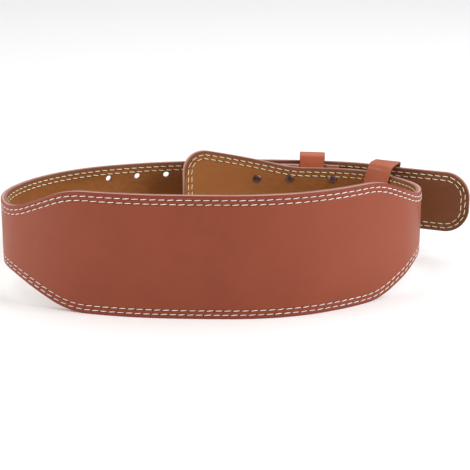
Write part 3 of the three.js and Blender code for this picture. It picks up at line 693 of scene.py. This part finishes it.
def hole_cells(prong_shift):
    """Stretches of the belt that are punched: middle, half the length, and the hole's length"""
    cells = []
    for pair in range(-HOLE_PAIRS_BEFORE_PRONGS, HOLE_PAIRS_PAST_PRONGS + 1):
        middle = -(PRONGS_AT + pair * HOLE_PITCH)
        if pair == 0:
            cells.append((middle + prong_shift, PRONG_HOLE_LENGTH / 2 + HOLE_MARGIN, PRONG_HOLE_LENGTH))
        else:
            cells.append((middle, HOLE_DIAMETER / 2 + HOLE_MARGIN, HOLE_DIAMETER))
    return sorted(cells)


def sheet_stations(cells):
    """Stations of the ladder: fine round the end corners, even between, one stretch for each cell"""
    quarter = [math.sin(math.pi / 2 * k / CORNER_STEPS) for k in range(CORNER_STEPS + 1)]
    first, last = TIP_CORNER_RADIUS - tongue.length, ARM_LENGTH - PAD_CORNER_RADIUS
    stations = [first - TIP_CORNER_RADIUS * share for share in reversed(quarter)]
    marks = [(middle - reach, middle + reach) for middle, reach, _ in cells]
    for low, high in [*marks, (last, None)]:
        count = math.ceil((low - stations[-1]) / CUT_STEP)
        begin = stations[-1]
        stations.extend(begin + (low - begin) * k / count for k in range(1, count + 1))
        if high is not None:
            stations.append(high)
    stations.extend(last + PAD_CORNER_RADIUS * share for share in quarter[1:])
    return stations


def punch(bm, cell):
    """Two round holes in the face that fills a cell. Each rim is drawn above it, joined and let down."""
    middle, reach, length = cell
    crossing = [f for f in bm.faces if abs(f.calc_center_median().x - middle) < 0.01]
    face = min(crossing, key=lambda f: abs(f.calc_center_median().y))
    geometry = [face, *face.edges, *face.verts]
    half = HOLE_DIAMETER / 2 + HOLE_MARGIN
    row = HOLE_ROW_SPACING / 2
    for v in (-row - half, half - row, row - half, row + half):
        cut = bmesh.ops.bisect_plane(bm, geom=geometry, dist=0.001, plane_co=(0, v, 0), plane_no=(0, 1, 0))
        geometry = cut["geom"]
    for v in (-row, row):
        here = [f for f in bm.faces if (f.calc_center_median() - Vector((middle, v, 0))).length < 0.1]
        sides = list(here[0].edges)
        bmesh.ops.delete(bm, geom=here, context="FACES_ONLY")
        bmesh.ops.subdivide_edges(bm, edges=sides, cuts=HOLE_POINTS // 4 - 1)
        rim = [e for e in bm.edges if e.is_boundary and all(
            abs(p.co.x - middle) < reach + 0.01 and abs(p.co.y - v) < half + 0.01 for p in e.verts
        )]
        centre = Matrix.Translation((middle, v, 1)) @ Matrix.Rotation(math.pi / 4, 4, "Z")
        ring = bmesh.ops.create_circle(
            bm, cap_ends=False, segments=HOLE_POINTS, radius=HOLE_DIAMETER / 2, matrix=centre,
        )
        for vert in ring["verts"]:
            vert.co.x += math.copysign((length - HOLE_DIAMETER) / 2, vert.co.x - middle)
        circle = {e for vert in ring["verts"] for e in vert.link_edges}
        bmesh.ops.bridge_loops(bm, edges=[*rim, *circle])
        bmesh.ops.translate(bm, verts=ring["verts"], vec=(0, 0, -1))


def edge_distance(co):
    return half_width(min(max(co.x, -tongue.length), ARM_LENGTH)) - abs(co.y)


def round_rims(bm, z, outer, hole):
    """Rounds the belt's edge and the holes' edges on one face"""
    for at_hole, offset in ((False, outer), (True, hole)):
        rims = []
        for edge in bm.edges:
            if len(edge.link_faces) != 2 or any(abs(v.co.z - z) > 0.01 for v in edge.verts):
                continue
            flats = sum(abs(f.normal.z) > 0.9 for f in edge.link_faces)
            walls = sum(abs(f.normal.z) < 0.1 for f in edge.link_faces)
            if flats == 1 and walls == 1 and (edge_distance(edge.verts[0].co) > 3) == at_hole:
                rims.append(edge)
        rounded = bmesh.ops.bevel(
            bm, geom=rims, offset=offset, offset_type="OFFSET", segments=3,
            profile=0.5, affect="EDGES", material=-1, clamp_overlap=True,
        )
        for face in rounded["faces"]:
            face.material_index = 1


def belt_layer(name, low, high, rounding_low, rounding_high, prong_shift, materials, node):
    """A layer is a ladder of faces from edge to edge, with a margin all round, punched and thickened."""
    cells = hole_cells(prong_shift)
    bm = bmesh.new()
    rails = []
    for side in (1, -1):
        verts = [bm.verts.new((u, side * half_width(u), low)) for u in sheet_stations(cells)]
        rails.extend(bm.edges.new(pair) for pair in zip(verts, verts[1:]))
    bmesh.ops.bridge_loops(bm, edges=rails)
    margin = bmesh.ops.inset_region(
        bm, faces=list(bm.faces), thickness=EDGE_MARGIN, use_boundary=True, use_even_offset=True,
    )
    for face in margin["faces"]:
        face.material_index = 1
    bmesh.ops.translate(bm, verts=bm.verts, vec=(0, 0, -low))
    for cell in cells:
        punch(bm, cell)
    bmesh.ops.translate(bm, verts=bm.verts, vec=(0, 0, low))
    raised = bmesh.ops.extrude_face_region(bm, geom=list(bm.faces), use_keep_orig=True)
    tops = [part for part in raised["geom"] if isinstance(part, bmesh.types.BMVert)]
    bmesh.ops.translate(bm, verts=tops, vec=(0, 0, high - low))
    bmesh.ops.recalc_face_normals(bm, faces=bm.faces)
    for face in bm.faces:
        if abs(face.normal.z) < 0.1:
            face.material_index = 2
    round_rims(bm, high, rounding_high, HOLE_ROUNDING)
    round_rims(bm, low, rounding_low, HOLE_ROUNDING)
    cut = bm.loops.layers.uv.new("cut")
    half = bm.verts.layers.float.new("half_width")
    for vert in bm.verts:
        vert[half] = (edge_distance(vert.co) + abs(vert.co.y)) * MM
    for face in bm.faces:
        for loop in face.loops:
            loop[cut].uv = loop.vert.co.xy * MM
    for vert in bm.verts:
        vert.co = bend_belt(vert.co)
    return finish_piece(name, bm, materials, [node])


SEAM_LEVEL = LINING - HALF_THICKNESS + GAP / 2
belt_layer(
    "smooth_outer_layer", SEAM_LEVEL, HALF_THICKNESS, SEAM_ROUNDING, EDGE_ROUNDING, OUTER_PRONG_SHIFT,
    [russet, burnished, dyed_rim], "outer_leather",
)
belt_layer(
    "suede_inner_layer", -HALF_THICKNESS, SEAM_LEVEL, 2 * SEAM_ROUNDING, SEAM_ROUNDING, INNER_PRONG_SHIFT,
    [suede, suede, suede_rim], "suede_lining",
)


# Seams


def shifted_inwards(outline, distance):
    """The closed outline, moved inwards"""
    moved = []
    for k, point in enumerate(outline):
        before, after = Vector(outline[k - 1]), Vector(outline[(k + 1) % len(outline)])
        along = (after - before).normalized()
        moved.append(Vector(point) + Vector((along.y, -along.x)) * distance)
    return moved


def evenly_along(line, pitch, start):
    """Places and directions at an even pitch round a closed line"""
    closed = [*line, line[0]]
    lengths = [(b - a).length for a, b in zip(closed, closed[1:])]
    count = round(sum(lengths) / pitch)
    step = sum(lengths) / count
    places = []
    k, passed = 0, 0.0
    for n in range(count):
        target = (n + start) * step
        while passed + lengths[k] < target:
            passed += lengths[k]
            k += 1
        along = (closed[k + 1] - closed[k]).normalized()
        places.append((closed[k] + along * (target - passed), along))
    return places


def one_stitch(outwards):
    """A stitch lies along X, its two ends dip into the leather, and a flat dark disc of painted shade stands
    for its needle hole.
    """
    bm = bmesh.new()
    stitch_size = Matrix.Diagonal((STITCH_LENGTH, THREAD_WIDTH, THREAD_WIDTH, 1))
    lying = stitch_size @ Matrix.Rotation(math.pi / 2, 4, "Y")
    bmesh.ops.create_uvsphere(bm, u_segments=8, v_segments=6, radius=0.5, matrix=lying)
    thread = set(bm.faces)
    # Painted shade: a flat dark disc where the needle hole is
    hole_size = Matrix.Diagonal((NEEDLE_HOLE, 0.8, 0.08, 1))
    flat = Matrix.Translation((STITCH_PITCH / 2, 0, outwards * THREAD_SINK)) @ hole_size
    bmesh.ops.create_icosphere(bm, subdivisions=1, radius=0.5, matrix=flat)
    for face in bm.faces:
        face.material_index = 0 if face in thread else 1
    stitch = bpy.data.meshes.new("stitch")
    bm.to_mesh(stitch)
    bm.free()
    return stitch


def sew(name, outwards, thread, hidden):
    """Rows of stitches round the outer face (1) or the inner face (-1), sewn flat and bent with the belt"""
    stitch = one_stitch(outwards)
    level = outwards * (HALF_THICKNESS - THREAD_SINK)
    bm = bmesh.new()
    fine_top = [(u, half_width(u)) for u in belt_stations(2)]
    fine_outline = fine_top + [(u, -v) for u, v in reversed(fine_top)]
    for row, distance in enumerate(SEAM_ROWS):
        line = shifted_inwards(fine_outline, distance)
        for n, (place, along) in enumerate(evenly_along(line, STITCH_PITCH, 0.25 + 0.5 * row)):
            if any(low < place.x < high for low, high in hidden):
                continue
            slant = math.radians(THREAD_SLANT + 2 * math.sin(2.3 * n))
            turned = Matrix.Rotation(math.atan2(along.y, along.x) + slant, 4, "Z")
            sewn = stitch.copy()
            sewn.transform(Matrix.Translation((place.x, place.y, level)) @ turned)
            bm.from_mesh(sewn)
            bpy.data.meshes.remove(sewn)
    bpy.data.meshes.remove(stitch)
    for vert in bm.verts:
        vert.co = bend_belt(vert.co)
    return finish_piece(name, bm, [thread, needle_hole_shade])


under_strap = (BUCKLE_STRAP_END - 2, BUCKLE_BAR_AT + FOLD_RADIUS + 2)
sew("outer_seams", 1, pale_thread, [under_strap])
sew("suede_seams", -1, cream_thread, [])


# Keepers


def rounded_rectangle(width, height, top_radius, bottom_radius, steps=8):
    """Points round an upright rectangle with its lower left corner at the origin"""
    points = []
    for right, top, quarter in [(1, 1, 0), (0, 1, 1), (0, 0, 2), (1, 0, 3)]:
        radius = top_radius if top else bottom_radius
        x = width - radius if right else radius
        y = height - radius if top else radius
        for k in range(steps + 1):
            angle = math.pi / 2 * (quarter + k / steps)
            points.append((x + radius * math.cos(angle), y + radius * math.sin(angle)))
    return points


def with_points_between(points, spacing):
    """The closed line with extra points on its long straight sides, near both ends too"""
    dense = []
    for a, b in zip(points, [*points[1:], points[0]]):
        a, b = Vector(a), Vector(b)
        length = (b - a).length
        dense.append(a)
        if length > 2 * spacing:
            count = math.ceil(length / spacing)
            shares = [0.8 / length, *(k / count for k in range(1, count)), 1 - 0.8 / length]
            dense.extend(a + (b - a) * share for share in shares)
    return dense


def keeper(name, node, row_at, width, inside, lean, top_radius):
    """A leather loop: row_at gives its inner place, its outward direction and its depth.
    A loop that leans moves along as it rises."""
    _, _, depth = row_at(0)
    wall = KEEPER_LEATHER
    bottom = inside[0] - wall
    height = inside[1] - inside[0] + 2 * wall
    outer = rounded_rectangle(depth, height, top_radius, KEEPER_FOLD_RADIUS)
    inner_size = (depth - 2 * wall, height - 2 * wall)
    inner = rounded_rectangle(*inner_size, top_radius - wall, KEEPER_FOLD_RADIUS - wall)
    inner = [(x + wall, y + wall) for x, y in inner]
    half = width / 2
    bm = cut_out(with_points_between(outer, 6), [with_points_between(inner, 6)], -half, half)
    for z in (-half, half):
        round_face(bm, z, 0.5, 0.8, 1, 2)
    slice_along(bm, 2, [-half + 1.2, *(-half + width * k / 8 for k in range(1, 8)), half - 1.2])
    for vert in bm.verts:
        x, y, along = vert.co
        place, outward, row_depth = row_at(along + lean * (y - height / 2))
        out = x if x < depth / 2 else x + row_depth - depth
        vert.co = stand(place + outward * out, bottom + y)
    return finish_piece(name, bm, [keeper_red, keeper_rim], [node])


KEEPER_ROOM = HALF_THICKNESS + KEEPER_SLACK + KEEPER_LEATHER


def fixed_row(along):
    s = FIXED_KEEPER_AT + along
    place, outward = arm.at(s, ON_ARM)
    return place, outward, lap_distance(s) + KEEPER_ROOM - ON_ARM


def reach_to(path, place, direction):
    """Distance from a place along a direction to a path"""
    nearest = math.inf
    for first, second in zip(path.samples, path.samples[1:]):
        a, b = Vector(first[1:3]) - place, Vector(second[1:3]) - place
        before, after = direction.cross(a), direction.cross(b)
        if before * after > 0:
            continue
        distance = a.lerp(b, before / (before - after)).dot(direction)
        if distance > 0:
            nearest = min(nearest, distance)
    return nearest


KEEPER_ON_TONGUE = tongue.length - TIP_LENGTH + LAP_FROM - SLIDING_KEEPER_AT


def sliding_row(along):
    outer_face, outward = tongue.at(KEEPER_ON_TONGUE + along, KEEPER_ROOM)
    depth = reach_to(arm, outer_face, -outward) + KEEPER_ROOM
    return outer_face - outward * depth, outward, depth


tongue_underside, tongue_top = TONGUE_CENTRE_Z - STRAP_WIDTH / 2, TONGUE_CENTRE_Z + STRAP_WIDTH / 2
arm_underside = arm_centre_z(SLIDING_KEEPER_AT) - STRAP_WIDTH / 2
keeper(
    "fixed_keeper_loop", "fixed_keeper", fixed_row, FIXED_KEEPER_WIDTH,
    (tongue_underside - FIXED_KEEPER_ROOM_BELOW, tongue_top + FIXED_KEEPER_ROOM_ABOVE), 0, KEEPER_FOLD_RADIUS,
)
keeper(
    "sliding_keeper_loop", "sliding_keeper", sliding_row, SLIDING_KEEPER_WIDTH,
    (arm_underside - SLIDING_KEEPER_ROOM_BELOW, tongue_top + SLIDING_KEEPER_ROOM_ABOVE),
    SLIDING_KEEPER_LEAN, KEEPER_TOP_RADIUS,
)


# Buckle strap


def leg_between(start, end, level, step=4):
    steps = math.ceil(abs(end - start) / step)
    return [(start + (end - start) * k / steps, level) for k in range(steps + 1)]


def buckle_strap():
    fold = []
    for k in range(FOLD_STEPS + 1):
        angle = math.radians(FOLD_TURN * k / FOLD_STEPS - 90)
        along, out = FOLD_RADIUS * math.cos(angle), FOLD_RADIUS * math.sin(angle)
        fold.append((BUCKLE_BAR_AT + along, BAR_LEVEL + out))
    clamp = RIVETS_AT[0] + RIVET_CAP_DIAMETER / 2
    clear = 2 * GAP
    middle = [
        *leg_between(KEEPER_TO + clear, BUCKLE_BAR_AT, INNER_LEG_LEVEL)[:-1],
        *fold,
        *leg_between(clamp, KEEPER_FROM - clear, OUTER_LEG_LEVEL),
        *leg_between(KEEPER_FROM - clear - 2 * STRAP_LEATHER, BUCKLE_STRAP_END, INNER_LEG_LEVEL),
    ]
    line = [arm.at(s, level)[0] for s, level in middle]
    sides = ([], [])
    for k, point in enumerate(line):
        along = (line[min(k + 1, len(line) - 1)] - line[max(k - 1, 0)]).normalized()
        across = Vector((-along.y, along.x)) * STRAP_LEATHER / 2
        sides[0].append(point + across)
        sides[1].append(point - across)
    outline = sides[0] + sides[1][::-1]
    low = TONGUE_CENTRE_Z - BUCKLE_STRAP_WIDTH / 2
    high = TONGUE_CENTRE_Z + BUCKLE_STRAP_WIDTH / 2
    bm = cut_out(outline, [], low, high)
    for z in (low, high):
        round_face(bm, z, 0.4, 0.6, 1, 2)
    slice_along(bm, 2, [low + 1.2, high - 1.2])
    for vert in bm.verts:
        vert.co = stand(vert.co.xy, vert.co.z)
    materials = [strap_russet, strap_rim]
    return finish_piece("folded_buckle_strap", bm, materials, ["buckle_strap"])


buckle_strap()


# Buckle
bar_centre, _ = arm.at(BUCKLE_BAR_AT, BAR_LEVEL)
front_bar_level = HALF_THICKNESS + FRONT_BAR_PLAY + BUCKLE_THICKNESS / 2
front_bar_centre, _ = tongue.at(TONGUE_BAR_AT - BUCKLE_LENGTH, front_bar_level)
buckle_along = (front_bar_centre - bar_centre).normalized()
buckle_out = Vector((buckle_along.y, -buckle_along.x))
buckle_span = (front_bar_centre - bar_centre).length


def softened(corners, radius, steps=6):
    """A closed line with each corner rounded"""
    points = []
    for k, corner in enumerate(corners):
        corner = Vector(corner)
        before, after = Vector(corners[k - 1]), Vector(corners[(k + 1) % len(corners)])
        start = corner + (before - corner).normalized() * radius
        end = corner + (after - corner).normalized() * radius
        for n in range(steps + 1):
            t = n / steps
            points.append(start.lerp(corner, t).lerp(corner.lerp(end, t), t))
    return points


def buckle_frame():
    heel, front = -HEEL_BAR_WIDTH / 2, buckle_span + FRONT_BAR_WIDTH / 2
    inner_half = STRAP_WIDTH / 2 + BUCKLE_SIDE_PLAY
    front_half = inner_half + BUCKLE_FLARE
    outer = [
        (heel, -inner_half - HEEL_SIDE_WIDTH),
        (front, -front_half - FRONT_SIDE_WIDTH),
        (front, front_half + FRONT_SIDE_WIDTH),
        (heel, inner_half + HEEL_SIDE_WIDTH),
    ]
    inner_front = buckle_span - FRONT_BAR_WIDTH / 2
    inner = [
        (HEEL_BAR_WIDTH / 2, -inner_half),
        (inner_front, -front_half),
        (inner_front, front_half),
        (HEEL_BAR_WIDTH / 2, inner_half),
    ]
    half = BUCKLE_THICKNESS / 2
    bm = cut_out(softened(outer, BUCKLE_CORNER_RADIUS), [softened(inner, 1.5)], -half, half)
    for z in (-half, half):
        round_face(bm, z, 1, 1.15, 0, 4)
    for vert in bm.verts:
        x, y, z = vert.co
        place = bar_centre + buckle_along * x - buckle_out * z
        vert.co = stand(place, TONGUE_CENTRE_Z + y)
    return finish_piece("buckle_frame", bm, [buckle_steel], ["buckle"])


def prong(name, z):
    """A wire from the heel bar, out through the tongue and over the front bar"""
    clear = HALF_THICKNESS + PRONG_DIAMETER / 2
    over_bar = front_bar_centre + buckle_out * (BUCKLE_THICKNESS / 2 + GAP + PRONG_DIAMETER / 2)
    route = [
        bar_centre,
        tongue.at(PRONGS_AT + PRONG_REACH / 3, -clear)[0],
        tongue.at(PRONGS_AT, 0)[0],
        tongue.at(PRONGS_AT - PRONG_REACH / 2, clear + GAP)[0],
        over_bar,
        over_bar + buckle_along * PRONG_OVERHANG,
    ]
    wire = bpy.data.curves.new(name, "CURVE")
    wire.dimensions = "3D"
    wire.bevel_depth = PRONG_DIAMETER / 2 * MM
    wire.bevel_resolution = 4
    wire.use_fill_caps = True
    spline = wire.splines.new("BEZIER")
    spline.bezier_points.add(len(route) - 1)
    spline.resolution_u = 8
    for point, place in zip(spline.bezier_points, route):
        point.co = stand(place, z)
        point.handle_left_type = point.handle_right_type = "AUTO"
    spline.bezier_points[-1].radius = 0.7
    holder = bpy.data.objects.new(name, wire)
    mesh = bpy.data.meshes.new_from_object(holder)
    bm = bmesh.new()
    bm.from_mesh(mesh)
    bpy.data.objects.remove(holder)
    bmesh.ops.remove_doubles(bm, verts=bm.verts, dist=0.00001)
    return finish_piece(name, bm, [buckle_steel])


buckle_frame()
for number, row in enumerate((-1, 1), 1):
    prong(f"prong_{number}", TONGUE_CENTRE_Z + row * HOLE_ROW_SPACING / 2)


# Rivets


def rivet(name, node, s, z):
    head = -HALF_THICKNESS
    leg = OUTER_LEG_LEVEL if s > FIXED_KEEPER_AT else INNER_LEG_LEVEL
    cap = leg + STRAP_LEATHER / 2
    radius, shank, cap_radius = RIVET_HEAD_DIAMETER / 2, RIVET_SHANK_DIAMETER / 2, RIVET_CAP_DIAMETER / 2
    top = head - RIVET_HEAD_HEIGHT
    profile = [
        (0, top),
        (0.35 * radius, top + 0.02),
        (0.6 * radius, top + 0.12),
        (0.78 * radius, top + 0.35),
        (0.9 * radius, head - 0.45),
        (radius, head - 0.3),
        (radius, head),
        (shank, head),
        (shank, cap),
        (cap_radius, cap),
        (cap_radius, cap + 0.3),
        (cap_radius - 0.5, cap + RIVET_CAP_HEIGHT),
        (0, cap + RIVET_CAP_HEIGHT),
    ]
    bm = bmesh.new()
    verts = [bm.verts.new((x, 0, w)) for x, w in profile]
    edges = [bm.edges.new(pair) for pair in zip(verts, verts[1:])]
    bmesh.ops.spin(
        bm, geom=[*verts, *edges], cent=(0, 0, 0), axis=(0, 0, 1), dvec=(0, 0, 0),
        angle=2 * math.pi, steps=32, use_merge=True,
    )
    bmesh.ops.remove_doubles(bm, verts=bm.verts, dist=0.001)
    sharp = [e for e in bm.edges if len(e.link_faces) == 2 and e.calc_face_angle() > math.radians(50)]
    bmesh.ops.bevel(
        bm, geom=sharp, offset=0.12, offset_type="OFFSET", segments=2, profile=0.5,
        affect="EDGES", material=-1, clamp_overlap=True,
    )
    place, outward = arm.at(s)
    along = Vector((-outward.y, outward.x))
    for vert in bm.verts:
        x, y, w = vert.co
        vert.co = stand(place + along * x + outward * w, z + y)
    return finish_piece(name, bm, [rivet_metal], [node])


rivet_rows = [TONGUE_CENTRE_Z + row * RIVET_ROW_SPACING / 2 for row in (1, -1)]
for number, (s, z) in enumerate([(s, z) for s in RIVETS_AT for z in rivet_rows], 1):
    rivet(f"rivet_head_{number}", f"rivet_{number}", s, z)


# Floor, light and camera


def pale_floor():
    bm = bmesh.new()
    bmesh.ops.create_grid(bm, x_segments=1, y_segments=1, size=6)
    mesh = bpy.data.meshes.new("floor")
    bm.to_mesh(mesh)
    bm.free()
    material, _, shader = start_material("pale_floor", 0.9, specular_ior_level=0.1)
    shader.inputs["Base Color"].default_value = (0.95, 0.95, 0.95, 1)
    mesh.materials.append(material)
    floor = bpy.data.objects.new("floor", mesh)
    bpy.context.scene.collection.objects.link(floor)


def soft_light(name, place, aim, size, power, color=(1, 1, 1)):
    light = bpy.data.lights.new(name, "AREA")
    light.shape = "RECTANGLE"
    light.size, light.size_y = size
    light.energy = power
    light.color = color
    holder = bpy.data.objects.new(name, light)
    holder.location = place
    holder.rotation_euler = (Vector(aim) - Vector(place)).to_track_quat("-Z", "Y").to_euler()
    bpy.context.scene.collection.objects.link(holder)


pale_floor()
world = bpy.data.worlds.new("studio")
bpy.context.scene.world = world
world.use_nodes = True
world.node_tree.nodes["Background"].inputs["Color"].default_value = (1, 1, 1, 1)
world.node_tree.nodes["Background"].inputs["Strength"].default_value = 0.4
bpy.context.scene.view_settings.view_transform = "Standard"
soft_light("left_softbox", (-1.6, -0.4, 0.3), (0, 0, 0.05), (0.6, 0.4), 13, (1, 0.94, 0.86))
soft_light("right_softbox", (1.6, -0.7, 1), (0, 0, 0.05), (0.8, 1.2), 30)
soft_light("overhead_softbox", (0, 0.9, 2.4), (0, 0.9, 0), (4.5, 4.5), 62)

CAMERA_DISTANCE = 1088
CAMERA_ELEVATION = 16.58
CAMERA_SIDE = 2.83
CAMERA_AIM_Z = 69.81
CAMERA_FOCAL_SHARE = 1379.62 / 470

camera_data = bpy.data.cameras.new("camera")
camera_data.sensor_width = 36
camera_data.lens = 36 * CAMERA_FOCAL_SHARE
camera_data.clip_end = 50
camera = bpy.data.objects.new("camera", camera_data)
tilt = math.radians(CAMERA_ELEVATION)
camera.location = stand(
    Vector((CAMERA_SIDE, -CAMERA_DISTANCE * math.cos(tilt))),
    CAMERA_AIM_Z + CAMERA_DISTANCE * math.sin(tilt),
)
camera.rotation_euler = (math.pi / 2 - tilt, 0, 0)
bpy.context.scene.collection.objects.link(camera)
bpy.context.scene.camera = camera
